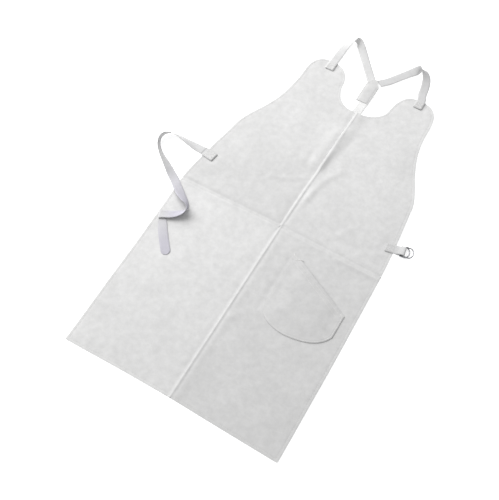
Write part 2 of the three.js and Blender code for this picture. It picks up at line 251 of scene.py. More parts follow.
def hide_material(name, tone, tint=(1.0, 0.999, 0.996), painted_light_falloff=None):
    """Split leather: soft blotches, a short nap, fine fibres, and a paler fuzzy cut edge. The last argument
    holds two heights on the apron in metres, and how much brighter or darker the hide is painted at each:
    painted light that falls off down the apron, away from the lamp."""
    nodes = Nodes(name)
    where = nodes.place_on_object()
    blotches = nodes.between(nodes.noise(where, 11, 4), 0.965, 1.03)
    patches = nodes.between(nodes.noise(where, 60, 5, 0.6), 0.935, 1.055)
    nap = nodes.noise(where, 420, 5, 0.7)
    fibres = nodes.noise(nodes.place_on_object((1, 0.45, 1)), 1500, 4, 0.65)
    shade = nodes.math("MULTIPLY", blotches, patches)
    shade = nodes.math("MULTIPLY", shade, nodes.between(nap, 0.95, 1.04))
    shade = nodes.math("MULTIPLY", shade, nodes.between(fibres, 0.96, 1.03))
    # Painted light: the hide's colour is scaled by height on the apron, brighter nearer the lamp and darker
    # towards the hem.
    if painted_light_falloff is not None:
        place_y = nodes.tree.nodes.new("ShaderNodeSeparateXYZ")
        nodes.link(where, place_y.inputs[0])
        (start, first), (end, last) = painted_light_falloff
        shade = nodes.math("MULTIPLY", shade, nodes.between(place_y.outputs["Y"], first, last, start, end))
    rim = nodes.tree.nodes.new("ShaderNodeAttribute")
    rim.attribute_name = "rim"
    shade = nodes.math("ADD", shade, nodes.math("MULTIPLY", rim.outputs["Fac"], 0.05))
    base = (tone * tint[0], tone * tint[1], tone * tint[2])
    colour = nodes.scaled(base, shade)
    normal = nodes.bump(nodes.noise(where, 120, 4), 0.0006, 0.5)
    normal = nodes.bump(nap, 0.00035, 0.7, normal)
    normal = nodes.bump(fibres, 0.00012, 0.8, normal)
    return nodes.finish(
        colour, nodes.between(nap, 0.82, 0.97), normal,
        Specular_IOR_Level=0.25, Sheen_Weight=0.12, Sheen_Roughness=0.5)


# Metres along the webbing over which a darker, bluer tint comes, mostly fades and comes back, and how much of
# it is left between.
TINT_COMES = (0.22, 0.36)
TINT_FADE_STARTS = (0.43, 0.46)
TINT_FADE_ENDS = (0.48, 0.56)
TINT_LEFT_IN_FADE = 0.15


def webbing_material(name, base, rib=0.0019, pick=0.0013, coarse=1.0, tint=None):
    """Woven webbing: rows of yarn along it crossed by picks, with a fuzz of loose fibres. Where tint is
    given, it turns to that towards the far end, apart from a stretch where the tint mostly fades."""
    nodes = Nodes(name)
    strap = nodes.tree.nodes.new("ShaderNodeSeparateXYZ")
    nodes.link(nodes.place_on_strap(), strap.inputs[0])
    along = nodes.math("MULTIPLY", strap.outputs["Y"], math.tau / pick)
    across = nodes.math("MULTIPLY", strap.outputs["X"], math.tau / rib)
    yarns = nodes.math("ABSOLUTE", nodes.math("SINE", nodes.math("MULTIPLY", across, 0.5)))
    turn = nodes.math("MULTIPLY", nodes.math("FLOOR", nodes.math("DIVIDE", across, math.tau)), math.pi)
    picks = nodes.math("SINE", nodes.math("ADD", along, turn))
    weave = nodes.math("ADD", yarns, nodes.math("MULTIPLY", picks, 0.45))
    where = nodes.place_on_object()
    fuzz = nodes.noise(where, 1300, 4, 0.7)
    wear = nodes.between(nodes.noise(where, 38, 4), 0.95, 1.03)
    shade = nodes.math("MULTIPLY", wear, nodes.between(weave, 0.93, 1.03, -0.45, 1.45))
    shade = nodes.math("MULTIPLY", shade, nodes.between(fuzz, 0.96, 1.03))
    if tint is not None:
        distance = strap.outputs["Y"]
        tinted = nodes.between(distance, 0.0, 1.0, *TINT_COMES)
        tint_kept = nodes.math("MAXIMUM", nodes.between(distance, 1.0, TINT_LEFT_IN_FADE, *TINT_FADE_STARTS),
                            nodes.between(distance, TINT_LEFT_IN_FADE, 1.0, *TINT_FADE_ENDS))
        tinted = nodes.math("MULTIPLY", tinted, tint_kept)
        base = nodes.mix(tinted, (*base, 1), (*tint, 1))
    normal = nodes.bump(weave, 0.00022 * coarse, 0.9)
    normal = nodes.bump(fuzz, 0.0001, 0.6, normal)
    return nodes.finish(
        nodes.scaled(base, shade), nodes.between(fuzz, 0.75, 0.93), normal,
        Specular_IOR_Level=0.3, Sheen_Weight=0.1, Sheen_Roughness=0.4)


def thread_material():
    """Twisted sewing thread."""
    nodes = Nodes("thread")
    where = nodes.place_on_object()
    twist = nodes.noise(where, 2600, 2)
    colour = nodes.scaled((0.72, 0.715, 0.70), nodes.between(twist, 0.9, 1.05))
    return nodes.finish(colour, nodes.between(twist, 0.5, 0.7), nodes.bump(twist, 0.0001, 0.6),
                        Specular_IOR_Level=0.4)


def chrome_material():
    """Plated wire with faint drawing marks and small dull scuffs."""
    nodes = Nodes("chrome_plate")
    where = nodes.place_on_object()
    scuffs = nodes.noise(where, 260, 5, 0.7)
    marks = nodes.noise(nodes.place_on_object((1, 0.1, 1)), 1800, 3)
    colour = nodes.scaled((0.34, 0.345, 0.36), nodes.between(scuffs, 0.82, 1.06))
    roughness = nodes.math("ADD", nodes.between(scuffs, 0.1, 0.26), nodes.between(marks, 0.0, 0.06))
    return nodes.finish(colour, roughness, nodes.bump(marks, 0.00003, 0.4), Metallic=1.0)


# --- meshes ---
def place(name, vertices, faces, material, body="apron", strap=None, rim=None):
    """Makes an object of points in millimetres. strap holds metres across and along for each point,
    and rim how close each point is to a cut edge, from 0 to 1."""
    mesh = bpy.data.meshes.new(name)
    mesh.from_pydata((np.asarray(vertices, float) * MM).tolist(), [], [list(map(int, f)) for f in faces])
    mesh.polygons.foreach_set("use_smooth", [True] * len(mesh.polygons))
    if strap is not None:
        corners = np.zeros(len(mesh.loops), dtype=np.int32)
        mesh.loops.foreach_get("vertex_index", corners)
        layer = mesh.uv_layers.new(name="strap")
        layer.data.foreach_set("uv", np.asarray(strap)[corners].ravel())
    if rim is not None:
        mesh.attributes.new("rim", "FLOAT", "POINT").data.foreach_set("value", np.asarray(rim, float))
    mesh.update()
    piece = bpy.data.objects.new(name, mesh)
    bpy.context.scene.collection.objects.link(piece)
    mesh.materials.append(material)
    if body is not None:
        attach(piece, body)
    return piece


def smooth(start, end, value):
    """0 up to start and 1 from end, with a soft step between."""
    t = np.clip((value - start) / (end - start), 0, 1)
    return t * t * (3 - 2 * t)


def bell(middle, reach, value):
    """1 at the middle, falling away on both sides."""
    return np.exp(-((value - middle) / reach) ** 2)


def shelf(foot, top, end, far_foot, value):
    """0 up to foot, 1 from top to end, and 0 again from far_foot."""
    return smooth(foot, top, value) * (1 - smooth(end, far_foot, value))


def distance_to(line, points):
    """Each point's distance to a line of points in the plane."""
    a, b = line[:-1], line[1:]
    step = b - a
    length2 = np.maximum((step ** 2).sum(1), 1e-12)
    best = np.full(len(points), np.inf)
    for start, way, size in zip(a, step, length2):
        t = np.clip(((points - start) @ way) / size, 0, 1)
        best = np.minimum(best, ((points - start - t[:, None] * way) ** 2).sum(1))
    return np.sqrt(best)


def bezier(*controls, steps=24):
    """Points on a quadratic or cubic curve, its start left out."""
    t = np.linspace(0, 1, steps + 1)[1:, None]
    points = np.array(controls, float)
    while len(points) > 1:
        points = [(1 - t) * a + t * b for a, b in zip(points[:-1], points[1:])]
    return points[0]


def resample(line, spacing):
    """The same line with its points evenly spaced, its corners kept."""
    line = np.asarray(line, float)
    along = np.r_[0, np.cumsum(np.linalg.norm(np.diff(line, axis=0), axis=1))]
    way = np.diff(line, axis=0)
    way /= np.maximum(np.linalg.norm(way, axis=1), 1e-9)[:, None]
    turns = np.r_[0, np.degrees(np.arccos(np.clip((way[:-1] * way[1:]).sum(1), -1, 1))), 0]
    stops = [0] + [i for i in range(1, len(line) - 1) if turns[i] > 20] + [len(line) - 1]
    parts = []
    for start, end in zip(stops[:-1], stops[1:]):
        count = max(1, round((along[end] - along[start]) / spacing))
        where = np.linspace(along[start], along[end], count + 1)[:-1]
        parts.append(np.stack([np.interp(where, along, line[:, k]) for k in range(line.shape[1])], 1))
    return np.vstack(parts + [line[-1:]])


def tube_faces(count, sides):
    """Faces of a tube of count rings with this many points each, closed at both ends."""
    faces = []
    for i in range(count - 1):
        for k in range(sides):
            a, b = i * sides + k, i * sides + (k + 1) % sides
            faces.append((a, a + sides, b + sides, b))
    faces.append(tuple(range(sides)))
    faces.append(tuple(range((count - 1) * sides, count * sides))[::-1])
    return faces


def signed_area(outline):
    """The area inside an outline, positive where it runs anticlockwise."""
    x, y = outline[:, 0], outline[:, 1]
    return 0.5 * np.sum(x * np.roll(y, -1) - np.roll(x, -1) * y)


def declare_sheet(piece, outline, **how):
    """Works out the area inside an outline in millimetres, in square metres, and does nothing with it or the
    piece.
    """
    abs(signed_area(outline * MM))


# --- straps ---
def catmull_rom(points, steps):
    """The curve through the points that the CAD model uses, with this many steps from point to point."""
    p = np.asarray(points, float)
    p = np.vstack([2 * p[0] - p[1], p, 2 * p[-1] - p[-2]])
    result = []
    for i in range(1, len(p) - 2):
        before, start, end, after = p[i - 1:i + 3]
        t = np.linspace(0, 1, steps + 1)[:-1, None]
        leave, arrive = (end - before) / 2, (after - start) / 2
        result.append(start + leave * t + (3 * (end - start) - 2 * leave - arrive) * t ** 2
                      + (2 * (start - end) + leave + arrive) * t ** 3)
    return np.vstack(result + [p[-2:-1]])


def strap_lines(route, spacing, round_end=0.0):
    """Evenly spaced points of a route's middle, its edge directions, and how wide it is at each, from
    0 to 1. round_end is the radius of a rounded far end."""
    route = np.asarray(route, float)
    bearing, rise = np.radians(route[:, 3]), np.radians(route[:, 4])
    edge = np.stack([np.cos(rise) * np.cos(bearing), np.cos(rise) * np.sin(bearing), np.sin(rise)], 1)
    middle, across = catmull_rom(route[:, :3], 24), catmull_rom(edge, 24)
    along = np.r_[0, np.cumsum(np.linalg.norm(np.diff(middle, axis=0), axis=1))]
    straight = along[-1] - round_end
    stations = np.linspace(0, straight, max(2, round(straight / spacing)) + 1)
    width = np.ones(len(stations))
    if round_end:
        angle = np.radians(np.array([15, 30, 45, 58, 70, 80, 87]))
        stations = np.r_[stations, straight + round_end * np.sin(angle)]
        width = np.r_[width, np.cos(angle)]
    sampled = [np.stack([np.interp(stations, along, line[:, k]) for k in range(3)], 1)
               for line in (middle, across)]
    across = sampled[1] / np.linalg.norm(sampled[1], axis=1)[:, None]
    return sampled[0], across, width, stations


def strap_mesh(route, width, thickness, spacing=2.5, round_end=0.0):
    """A closed ribbon with rounded edges: points, faces, and metres across and along at each point."""
    middle, across, share, stations = strap_lines(route, spacing, round_end)
    along = np.gradient(middle, axis=0)
    up = np.cross(along, across)
    up /= np.linalg.norm(up, axis=1)[:, None]
    flat = np.linspace(-0.96, 0.96, 7)
    section = [(a, 1.0) for a in flat] + [(1, 0.35), (1, -0.35)]
    section += [(a, -1.0) for a in flat[::-1]] + [(-1, -0.35), (-1, 0.35)]
    points, strap = [], []
    for a, b in section:
        points.append(middle + across * (a * width / 2 * share)[:, None] + up * (b * thickness / 2))
        strap.append(np.stack([a * width / 2 * share, stations], 1) * MM)
    count, sides = len(stations), len(section)
    vertices = np.stack(points, 1).reshape(-1, 3)
    strap = np.stack(strap, 1).reshape(-1, 2)
    return vertices, tube_faces(count, sides), strap


def add_strap(name, route, material, slot, width=WEBBING_WIDTH, thickness=WEBBING, body="apron", **how):
    vertices, faces, strap = strap_mesh(route, width, thickness, **how)
    return place(name, vertices, faces, material, body, strap=strap)


def add_belt(material):
    """The free end of the waist belt, in folds beside and on the apron."""
    vertices, faces, strap = strap_mesh(
        BELT_ROUTE, WEBBING_WIDTH, WEBBING, round_end=WEBBING_WIDTH / 2)
    belt = place("belt_strap_webbing", vertices, faces, material, strap=strap)
    route, _, _, _ = strap_lines(BELT_ROUTE, 5)
    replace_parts(belt, "belt_strap")
    return belt


# --- how the leather lies ---
# Low folds in the leather: the crest's points, how high it is and how far its flanks reach. Those
# with a height below 0 are hollows.
FOLDS = [
    ([(60, 228), (38, 195), (24, 140), (20, 105)], 1.9, 13),
    ([(-104, 122), (-60, 138), (-20, 160)], 1.3, 9),
    ([(16, 364), (58, 369)], 1.2, 8),
    ([(-35, 185), (-38, 250)], -0.8, 9),
    ([(170, -19), (230, -20), (291, -19)], 1.5, 8),
    ([(212, 26), (250, 42), (292, 66)], 1.0, 10),
    ([(118, 22), (138, 40), (160, 78)], 0.9, 9),
    ([(-96, -52), (-72, -64)], 0.9, 6),
    ([(-92, -182), (-48, -168)], 0.9, 14),
    ([(8, -205), (30, -212), (66, -208)], 0.8, 9),
    ([(20, -292), (34, -275)], 0.9, 14),
    ([(-285, 12), (-262, 10)], 1.0, 9),
    ([(68, -52), (67, -236)], -1.1, 10),
]
# Places where the leather lies still under something sewn or lying on it: x, y, radius.
STILL = [
    (-135, 538, 26), (143.5, 537, 26), (BELT_END["x"], BELT_END["y"], 26), (277, 82, 24),
    (-262, -85, 62), (-245, -180, 52),
]


def waist_y(x):
    """The waist seam: level on the left, and starting lower and slanting down on the right."""
    slant = (RIGHT_WAIST_END - RIGHT_WAIST_START) / WAIST_HALF_WIDTH["right"]
    return np.where(x > 0, RIGHT_WAIST_START + slant * x, 0.0)


def seam_x(y):
    return BIB_SKEW * np.maximum(y, 0)


def undulation(x, y):
    """Slow swells and small puckers, between 0 and about 3 mm."""
    values = []
    for px, py in zip(x.ravel(), y.ravel()):
        slow = noise.noise(Vector((px / 150, py / 150, 3.1)))
        middle = noise.noise(Vector((px / 62, py / 62, 8.4)))
        small = noise.noise(Vector((px / 24, py / 24, 5.7)))
        values.append(1.15 + 1.5 * slow + 0.75 * middle + 0.16 * small)
    return np.clip(np.array(values).reshape(x.shape), 0.0, None)


def over_back_strap(y):
    """1 where the bib is lifted by the hidden strap and loop, and 0 above and below."""
    return shelf(BACK_STRAP_END - 30, BACK_STRAP_END + 6, 335, 378, y)


def back_ridge(x, y):
    """The rise over the hidden back strap and belt loop, with a steep right flank."""
    middle = BACK_STRAP_X + BACK_STRAP_LEAN * (y - NECKLINE_Y)
    across = x - middle
    high = over_back_strap(y)
    low = smooth(BACK_STRAP_END - 30, BACK_STRAP_END + 6, y) - high
    loop_height, strap_height = 5.4, 1.4
    left = 0.55 * smooth(-34, -6, across) + 0.45 * smooth(-75, -20, across)
    shoulder = 9.5
    reach = 17 + 17 * smooth(235, 345, y)
    right = 1 - smooth(shoulder, shoulder + reach, across)
    return (loop_height * high + strap_height * low) * left * right


def bib_crest(y):
    """How far right of the middle seam its ridge stands."""
    return 1.5 + 3.0 * smooth(120, 220, y)


def seam_rise(x, y):
    """The seams over the open leather. The middle seam is a ridge with the allowances under its right
    side. At the waist the bib turns down into the seam, and the skirt's edge stands up in a roll."""
    across = x - seam_x(y)
    above = y - waist_y(x)
    crest = (1.5 + 0.6 * smooth(-20, 60, above)) * (1 - 0.45 * over_back_strap(y))
    allowance = 0.9 * (1 - over_back_strap(y))
    middle = crest * bell(bib_crest(y), 5.5, across) + allowance * shelf(5, 13, 16, 32, across)
    roll = 1.5 - 0.7 * smooth(-30, 60, x)
    skirt_side = roll * bell(-8, 7, above) + 0.4 * shelf(4, 9, 12, 34, -above)
    bib_side = 1.1 * shelf(1, 11, 14, 30, above)
    return np.maximum(middle, skirt_side + bib_side)


def near_seam(x, y):
    """1 on a seam and 0 away from it."""
    return np.exp(-(np.minimum(np.abs(x - seam_x(y)), np.abs(y - waist_y(x))) / 11) ** 2)


def fold_rise(x, y):
    points = np.stack([x.ravel(), y.ravel()], 1)
    total = np.zeros(len(points))
    for crest, height, reach in FOLDS:
        line = np.array(crest, float)
        near = distance_to(line, points)
        total += height * np.exp(-(near / reach * 1.6) ** 2)
    return total.reshape(x.shape)


def calm(x, y):
    """1 in the open and 0 where the leather lies still."""
    keep = np.ones_like(x)
    for cx, cy, radius in STILL:
        keep *= smooth(0.75 * radius, 1.5 * radius, np.hypot(x - cx, y - cy))
    return keep


def lie(x, y):
    """Height of the panels' underside over the floor."""
    x, y = np.asarray(x, float), np.asarray(y, float)
    pinned = 1 - 0.7 * near_seam(x, y)
    loose = undulation(x, y) * pinned + fold_rise(x, y) + seam_rise(x, y)
    return np.maximum(loose * calm(x, y), 0) + back_ridge(x, y) + 0.02


# --- leather pieces ---
def offset_points(line, distance):
    """Points this far inside a closed line that runs anticlockwise, where they are that far from it."""
    closed = np.vstack([line, line[:1]])
    way = np.diff(closed, axis=0)
    way /= np.maximum(np.linalg.norm(way, axis=1), 1e-9)[:, None]
    turned = (way + np.roll(way, 1, axis=0))
    turned /= np.maximum(np.linalg.norm(turned, axis=1), 1e-9)[:, None]
    inwards = np.stack([-turned[:, 1], turned[:, 0]], 1)
    points = line + inwards * distance
    return points[distance_to(closed, points) > distance - 0.12]


def leather_sheet(outline, rings, spacing):
    """Points and triangles that fill an outline: rings beside its edge and an even grid inside."""
    if signed_area(outline) < 0:
        outline = outline[::-1]
    closed = np.vstack([outline, outline[:1]])
    low, high = outline.min(0), outline.max(0)
    columns, rows = np.arange(low[0], high[0], spacing), np.arange(low[1], high[1], spacing)
    grid = np.stack(np.meshgrid(columns, rows), -1)
    grid[::2, :, 0] += spacing / 2
    grid = grid.reshape(-1, 2)
    grid = grid[distance_to(closed, grid) > rings[-1] + 0.6 * spacing]
    points = np.vstack([outline] + [offset_points(outline, ring) for ring in rings] + [grid])
    count = len(outline)
    edges = [(i, (i + 1) % count) for i in range(count)]
    found = geometry.delaunay_2d_cdt([Vector(p) for p in points], edges, [], 1, 1e-4)
    flat = np.array([(v.x, v.y) for v in found[0]])
    return flat, [tuple(f) for f in found[2]]


def border_edges(faces):
    """The edges that only one triangle has, in its direction."""
    seen = {}
    for face in faces:
        for a, b in zip(face, face[1:] + face[:1]):
            seen[(a, b)] = True
    return [(a, b) for a, b in seen if (b, a) not in seen]


def leather_piece(name, outline, bottom, top, material, rings, spacing):
    """A closed sheet: bottom and top give heights for points in the plane and their distance to the edge."""
    flat, faces = leather_sheet(outline, rings, spacing)
    edge = distance_to(np.vstack([outline, outline[:1]]), flat)
    low = np.column_stack([flat, bottom(flat[:, 0], flat[:, 1], edge)])
    high = np.column_stack([flat, top(flat[:, 0], flat[:, 1], edge)])
    count = len(flat)
    walls = []
    for a, b in border_edges(faces):
        walls.append((b, a, a + count, b + count))
    closed = [tuple(i + count for i in f) for f in faces] + [f[::-1] for f in faces] + walls
    rim = np.exp(-(np.r_[edge, edge] / 1.6) ** 2)
    return place(name, np.vstack([low, high]), closed, material, rim=rim)


RINGS = [0.7, 1.7, 3.0, 4.6, 6.0, 7.0, 8.0, 10.0, 13.5, 18.5]


def rounded(edge, thickness=LEATHER, radius=0.8):
    """How much thinner a sheet is beside its cut edge."""
    return 0.35 * thickness * (1 - smooth(0, radius, edge))


def stitch_dent(edge, depth=0.35):
    return depth * bell(STITCH_INSET, 0.9, edge)


def side_name(side):
    return "left" if side < 0 else "right"


def skirt_outline(side):
    inner, outer = side * SEAM, side * WAIST_HALF_WIDTH[side_name(side)]
    line = [(inner, waist_y(inner) - SEAM), (outer, waist_y(outer) - SEAM)]
    line += [(side * x, y) for x, y in SKIRT_CORNERS[side_name(side)]]
    line += [(inner, SKIRT_BOTTOM), line[0]]
    return resample(line, 4.5)[:-1]


def bib_outline(side):
    """Up the side to the armhole, round the lobe and down the neckline, leaning with the bib."""
    def at(x, y):
        return side * x + BIB_SKEW * y, y
    outer = WAIST_HALF_WIDTH[side_name(side)]
    start = at(SEAM, waist_y(side * SEAM) + SEAM)
    line = [start, at(outer, waist_y(side * outer) + SEAM)]
    for curve in BIB_CURVES[side_name(side)]:
        line += list(bezier(line[-1], *[at(*point) for point in curve]))
    line += [at(SEAM, NECKLINE_Y), start]
    return resample(line, 4.5)[:-1]


def on_outer_edge(x, y, edge):
    """1 beside the apron's own edge and 0 beside a seam."""
    return smooth(9, 14, np.abs(x - seam_x(y))) * smooth(9, 14, np.abs(y - waist_y(x)))


def panel_top(x, y, edge):
    outer = on_outer_edge(x, y, edge)
    return lie(x, y) + LEATHER - rounded(edge) - stitch_dent(edge) * outer


def panel_bottom(x, y, edge):
    return lie(x, y)


def surface(x, y):
    """Height of the panels' upper side, away from their edges."""
    return lie(np.atleast_1d(x), np.atleast_1d(y)) + LEATHER


def add_panels(materials):
    outlines = {
        "skirt_panel_left": skirt_outline(-1), "skirt_panel_right": skirt_outline(1),
        "bib_panel_left": bib_outline(-1), "bib_panel_right": bib_outline(1),
    }
    for node, outline in outlines.items():
        piece = leather_piece(
            node + "_leather", outline, panel_bottom, panel_top, materials[node], RINGS, 7)
        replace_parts(piece, node)
        declare_sheet(piece, outline)
    return outlines


# --- welts ---
def welt_mesh(line, half_width, height):
    """A folded strip over a seam, along a line in the plane. It stands out of the leather by height,
    and swells and wavers as it goes."""
    line = resample(line, 3.0)
    way = np.gradient(line, axis=0)
    way /= np.linalg.norm(way, axis=1)[:, None]
    side = np.stack([way[:, 1], -way[:, 0]], 1)
    wobble = np.array([noise.noise(Vector((p[0] / 30, p[1] / 30, 1.7))) for p in line])
    swell = np.array([noise.noise(Vector((p[0] / 11, p[1] / 11, 6.2))) for p in line])
    rim = 0.25
    profile = [(-1.0, 0.0), (-1.0, rim)]
    profile += [(math.cos(a), rim + (1 - rim) * math.sin(a)) for a in np.radians(np.arange(156, 0, -26))]
    profile += [(1.0, rim), (1.0, 0.0)]
    sunk = 0.5
    points = []
    for across, up in profile:
        reach = (across * (1 + 0.1 * swell) + 0.15 * wobble) * half_width
        flat = line + side * reach[:, None]
        stands = (height + sunk) * (1 + 0.15 * wobble + 0.1 * swell)
        z = lie(flat[:, 0], flat[:, 1]) + LEATHER - sunk + up * stands
        points.append(np.column_stack([flat, z]))
    sides, count = len(profile), len(line)
    vertices = np.stack(points, 1).reshape(-1, 3)
    return vertices, tube_faces(count, sides)


def add_welts():
    """Each welt covers the gap between its panels. The bib's is painted a little paler, a painted highlight
    along its crest.
    """
    # Painted highlight: the bib's welt gets a paler tone that stands in for light on its crest.
    pale = hide_material("welt_painted_highlight", 0.59)
    waist = hide_material("waist_welt", 0.56)
    plain = hide_material("skirt_welt", 0.58)
    right = np.linspace(0, WAIST_HALF_WIDTH["right"], 12)
    over_left = -2.8
    up = np.linspace(SEAM - 4, NECKLINE_Y, 16)
    lines = {
        "skirt_centre_welt": ([(1, SKIRT_BOTTOM - 0.3), (1, -SEAM)], 3.4, 0.3, plain),
        "bib_centre_welt": (list(zip(seam_x(up) + bib_crest(up) - 1.5, up)), 4.6, 0.35, pale),
        "waist_welt_left": ([(0.3 - WAIST_HALF_WIDTH["left"], over_left), (-1, over_left)], 5.5, 0.25, waist),
        "waist_welt_right": (list(zip(right, waist_y(right) - 1)), 3.7, 0.3, plain),
    }
    for node, (line, half_width, height, material) in lines.items():
        vertices, faces = welt_mesh(line, half_width, height)
        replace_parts(place(node + "_leather", vertices, faces, material), node)


# --- stitches ---
def add_stitches(name, lines, height, material, pitch=4.2, size=(3.3, 0.75, 0.5), body="apron"):
    """Short rounded threads end to end along lines in the plane, lying on the height given."""
    rings, sides = [(-0.5, 0.35), (-0.3, 0.95), (0.3, 0.95), (0.5, 0.35)], 6
    shape = [(a, b * math.cos(math.tau * k / sides), b * math.sin(math.tau * k / sides))
             for a, b in rings for k in range(sides)]
    shape = np.array(shape) * (size[0], size[1] / 2, size[2] / 2)
    one = [face[::-1] for face in tube_faces(len(rings), sides)]
    vertices, faces = [], []
    for line in lines:
        line = np.asarray(line, float)
        along = np.r_[0, np.cumsum(np.linalg.norm(np.diff(line, axis=0), axis=1))]
        where = np.arange(pitch / 2, along[-1], pitch)
        middle = np.stack([np.interp(where, along, line[:, k]) for k in range(2)], 1)
        ahead = np.stack([np.interp(where + 1, along, line[:, k]) for k in range(2)], 1)
        behind = np.stack([np.interp(where - 1, along, line[:, k]) for k in range(2)], 1)
        way = ahead - behind
        way /= np.maximum(np.linalg.norm(way, axis=1), 1e-9)[:, None]
        z0 = height(behind[:, 0], behind[:, 1])
        z1 = height(ahead[:, 0], ahead[:, 1])
        for p, d, low, high in zip(middle, way, z0, z1):
            slope = (high - low) / 2
            first = sum(len(v) for v in vertices)
            turned = np.column_stack([
                p[0] + shape[:, 0] * d[0] - shape[:, 1] * d[1],
                p[1] + shape[:, 0] * d[1] + shape[:, 1] * d[0],
                (low + high) / 2 + shape[:, 2] + shape[:, 0] * slope + 0.1])
            vertices.append(turned)
            faces += [tuple(i + first for i in f) for f in one]
    return place(name, np.vstack(vertices), faces, material, body)


def inset_lines(outline, distance, keep):
    """The parts of an inset line where keep says so, as separate lines."""
    if signed_area(outline) < 0:
        outline = outline[::-1]
    points = offset_points(outline, distance)
    kept = keep(points[:, 0], points[:, 1])
    first = 0 if kept.all() else int(np.argmin(kept))
    points, kept = np.roll(points, -first, axis=0), np.roll(kept, -first)
    lines, line = [], []
    for p, k in zip(points, kept):
        if k and (not line or np.hypot(*(p - line[-1])) < 25):
            line.append(p)
        else:
            if len(line) > 2:
                lines.append(np.array(line))
            line = [p] if k else []
    if len(line) > 2:
        lines.append(np.array(line))
    return lines


def away_from_seams(x, y):
    return (np.abs(x - seam_x(y)) > 9) & (np.abs(y - waist_y(x)) > 9)


def add_edge_stitches(outlines, material):
    for node, outline in outlines.items():
        lines = inset_lines(outline, STITCH_INSET, away_from_seams)
        add_stitches(node + "_stitches", lines, lambda x, y: surface(x, y) - 0.3, material)


# --- pocket ---
POCKET = dict(left=73, right=264, mouth_left=-54, mouth_right=-152, bottom=-271, lowest=155,
              side_left=-230, side_right=-218, corner_left=95, corner_right=243, puff=2.0)
POCKET_RINGS = [0.6, 1.4, 2.6, 4.0, 6.0, 8.0, 10.5, 14.0, 19.0]
OUTER_ROW, INNER_ROW, MOUTH_ROW = 3.2, 9.2, 19


def pocket_seam():
    """The sewn sides and bottom, from the mouth's left end round to its right end."""
    p = POCKET
    line = [(p["left"], p["mouth_left"]), (p["left"], p["side_left"])]
    line += list(bezier(line[-1], (p["corner_left"], p["bottom"] + 3), (p["lowest"], p["bottom"])))
    line += list(bezier(line[-1], (p["corner_right"], p["bottom"] + 4), (p["right"], p["side_right"])))
    line.append((p["right"], p["mouth_right"]))
    return np.array(line, float)


def add_pocket(hide, thread):
    p = POCKET
    seam = pocket_seam()
    outline = resample(np.vstack([seam, seam[:1]]), 4.0)[:-1]
    mouth = np.array([seam[-1], seam[0]])
    turned = 2.0 * LEATHER

    def thick(x):
        """The turned-in edge lies flatter along the left side."""
        return LEATHER + (turned - LEATHER) * smooth(p["left"] + 6, p["left"] + 40, x)

    def puff(x, y):
        inside = distance_to(seam, np.stack([x, y], 1))
        hem = distance_to(mouth, np.stack([x, y], 1))
        crown = p["puff"] * smooth(9, 62, inside)
        ripple = 0.7 * fold_ripple(x, y) * smooth(9, 30, inside)
        return (crown + ripple) * (0.5 + 0.5 * smooth(0, 30, hem))

    def fold_ripple(x, y):
        return np.array([noise.noise(Vector((a / 38, b / 52, 4.2))) for a, b in zip(x, y)]) + 0.4

    def top(x, y, edge):
        sewn = distance_to(seam, np.stack([x, y], 1))
        hem = distance_to(mouth, np.stack([x, y], 1))
        rows = 0.6 * bell(OUTER_ROW + 0.4, 1.1, sewn) + 0.4 * bell(INNER_ROW, 0.9, sewn)
        rows += 0.3 * bell(MOUTH_ROW, 0.9, hem)
        return surface(x, y) + thick(x) + puff(x, y) - rounded(edge, thick(x), 2.2) - rows

    def bottom(x, y, edge):
        sewn = distance_to(seam, np.stack([x, y], 1))
        lifted = (thick(x) - LEATHER + puff(x, y)) * smooth(9, 16, sewn)
        return surface(x, y) + 0.05 + lifted

    pocket = leather_piece("pocket_leather", outline, bottom, top, hide, POCKET_RINGS, 6)
    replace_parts(pocket, "pocket_panel")
    declare_sheet(pocket, outline, rests_on=["skirt_panel_right_leather"])

    def height(x, y):
        x, y = np.atleast_1d(x), np.atleast_1d(y)
        far_from_the_edge = np.full(len(x), 50.0)
        return top(x, y, far_from_the_edge) - 0.02

    def off_the_mouth(x, y):
        return distance_to(mouth, np.stack([x, y], 1)) > 6

    def along_the_mouth(x, y):
        points = np.stack([x, y], 1)
        return (distance_to(mouth, points) < MOUTH_ROW + 0.5) & (distance_to(seam, points) > INNER_ROW + 0.3)

    rows = []
    for inset in (OUTER_ROW, INNER_ROW):
        rows += inset_lines(outline, inset, off_the_mouth)
    rows += inset_lines(outline, MOUTH_ROW, along_the_mouth)
    add_stitches("pocket_stitches", rows, height, thread)
    tacks = [[(71, -60), (84, -66)], [(84, -71), (101, -64)], [(253, -152), (262, -160)]]
    dense = [np.array(t) + (0, k * 0.8) for t in tacks for k in (-1, 0, 1)]
    add_stitches("pocket_bar_tacks", dense, height, thread, pitch=2.2, size=(2.6, 0.8, 0.7))


# --- scene ---
add_camera()
strap_cloth = webbing_material("strap_cloth", (0.59, 0.59, 0.592))
add_belt(webbing_material("belt_cloth", (0.57, 0.57, 0.572), tint=(0.50, 0.49, 0.545)))
back_cloth = webbing_material("back_cloth", (0.80, 0.80, 0.795), coarse=1.3)
thread = thread_material()
# The pair after each hide's tone is painted light: the hide is brighter higher up the apron, nearer the lamp,
# and darker towards the hem.
hides = {
    "skirt_panel_left": hide_material("left_skirt_hide", 0.595, painted_light_falloff=((-0.45, 0.985), (-0.06, 1.03))),
    "skirt_panel_right": hide_material("right_skirt_hide", 0.555, painted_light_falloff=((-0.45, 0.995), (-0.06, 1.01))),
    "bib_panel_left": hide_material("left_bib_hide", 0.575, painted_light_falloff=((0.05, 0.965), (0.36, 1.03))),
    "bib_panel_right": hide_material("right_bib_hide", 0.60, painted_light_falloff=((0.05, 0.98), (0.25, 1.02))),
}
outlines = add_panels(hides)
add_welts()
add_edge_stitches(outlines, thread)
add_pocket(hide_material("pocket_hide", 0.54), thread)


# --- sewn strap ends, yoke, back strap ---
# How high the stitches lie over the middle of the upper layer of webbing.
SEWN_TOP = 0.72


